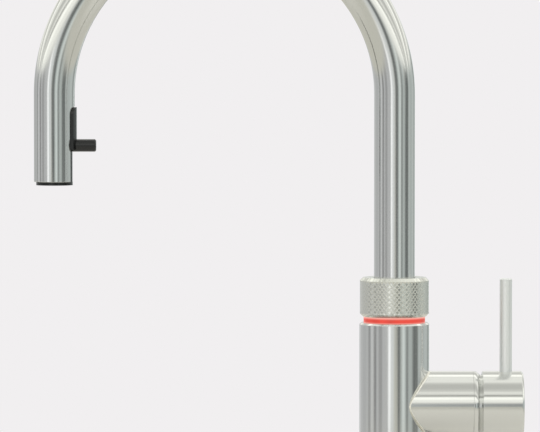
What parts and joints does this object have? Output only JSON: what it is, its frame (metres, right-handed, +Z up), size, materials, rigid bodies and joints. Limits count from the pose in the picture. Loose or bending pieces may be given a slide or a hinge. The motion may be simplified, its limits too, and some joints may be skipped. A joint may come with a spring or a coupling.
{
  "type": "boiling water tap",
  "caption": "Deck-mounted boiling water tap: swivelling swan-neck spout with pull-out outlet, knurled push-and-turn ring over a red light ring, side mixer lever",
  "frame": {"origin": "where the column's axis meets the worktop's top face, under the base flange", "axes": "+Z up along the column; +X along the mixer arm; the spout reaches towards -X; the front faces -Y"},
  "size_m": [0.3354, 0.054, 0.4807],
  "materials": {
    "stainless": "stainless steel, fine drawn satin polish",
    "knurled_steel": "stainless steel, fine diamond knurl between plain bevels",
    "light": "translucent red light ring, lit from inside",
    "black_plastic": "moulded black plastic, satin",
    "rubber": "black rubber",
    "zinc_steel": "bright steel",
    "brass": "turned brass",
    "copper": "drawn copper tube",
    "hose": "grey braided nylon hose",
    "white_plastic": "natural acetal",
    "grey_plastic": "moulded grey plastic",
    "ceramic": "lapped alumina ceramic",
    "circuit": "green circuit board",
    "magnet": "nickel-plated magnet"
  },
  "bodies": {
    "base": {"column_body": "stainless", "base_flange": "stainless", "base_gasket": "rubber", "threaded_shank": "stainless", "rubber_washer": "rubber", "steel_washer": "zinc_steel", "clamp_nut": "brass", "jack_screws": "zinc_steel", "inlet_manifold": "brass", "cold_tube": "copper", "hot_tube": "copper", "mixed_tube": "copper", "boiling_feed_tube": "copper", "hose_lower": "hose", "spout_socket": "brass", "upper_bush": "white_plastic", "lower_bush": "white_plastic", "socket_circlip": "zinc_steel", "return_spring": "zinc_steel", "light_ring": "light", "sensor_board": "circuit", "mixer_arm": "stainless", "cartridge_seat": "brass", "cartridge_housing": "grey_plastic", "fixed_disc": "ceramic", "cartridge_nut": "brass", "dome_cover": "stainless"},
    "spout": {"spout_tube": "stainless", "spout_plug": "brass", "plug_orings": "rubber", "thrust_collar": "zinc_steel", "boiling_riser": "zinc_steel", "boiling_spigot": "brass", "hose_upper": "hose", "hose_leg": "hose"},
    "pull_head": {"nozzle_body": "black_plastic", "grip_tongue": "black_plastic", "grip_pin": "black_plastic", "head_core": "white_plastic", "boiling_nozzle": "zinc_steel", "aerator": "black_plastic", "hose_ferrule": "zinc_steel"},
    "ring_carrier": {"push_sleeve": "white_plastic"},
    "ring": {"control_ring": "knurled_steel", "snap_ring": "zinc_steel", "ring_magnets": "magnet"},
    "mixer_carrier": {"yoke": "white_plastic", "pivot_pin": "zinc_steel"},
    "ceramic_slider": {"moving_disc": "ceramic", "disc_driver": "white_plastic"},
    "mixer_handle": {"lever_stem": "zinc_steel", "handle_cap": "stainless", "lever_rod": "stainless", "grub_screw": "zinc_steel"}
  },
  "joints": [
    {"name": "spout_swivel", "type": "hinge", "parent": "base", "child": "spout", "pos_m": [0, 0, 0.1], "axis": [0, 0, 1], "range_deg": [-180, 180]},
    {"name": "head_pull", "type": "slide", "parent": "spout", "child": "pull_head", "axis": [0, 0, -1], "range_m": [0, 0.2], "stiffness_N_per_m": 4, "springref_m": -0.8, "deforming": ["hose_leg"]},
    {"name": "ring_push", "type": "slide", "parent": "base", "child": "ring_carrier", "axis": [0, 0, -1], "range_m": [0, 0.003], "stiffness_N_per_m": 1500, "springref_m": -0.003, "deforming": ["return_spring"]},
    {"name": "ring_turn", "type": "hinge", "parent": "ring_carrier", "child": "ring", "pos_m": [0, 0, 0.136], "axis": [0, 0, 1], "range_deg": [0, 90]},
    {"name": "mixer_temperature", "type": "hinge", "parent": "base", "child": "mixer_carrier", "pos_m": [0.0524, 0, 0.062], "axis": [1, 0, 0], "range_deg": [-45, 45]},
    {"name": "mixer_flow", "type": "hinge", "parent": "mixer_carrier", "child": "mixer_handle", "pos_m": [0.0524, 0, 0.062], "axis": [0, 1, 0], "range_deg": [0, 20]},
    {"name": "disc_slide", "type": "slide", "parent": "mixer_carrier", "child": "ceramic_slider", "axis": [0, 0, 1], "range_m": [0, 0.0033]}
  ],
  "couplings": [
    {"joint": "disc_slide", "follows": "mixer_flow", "m_per_rad": 0.009}
  ]
}
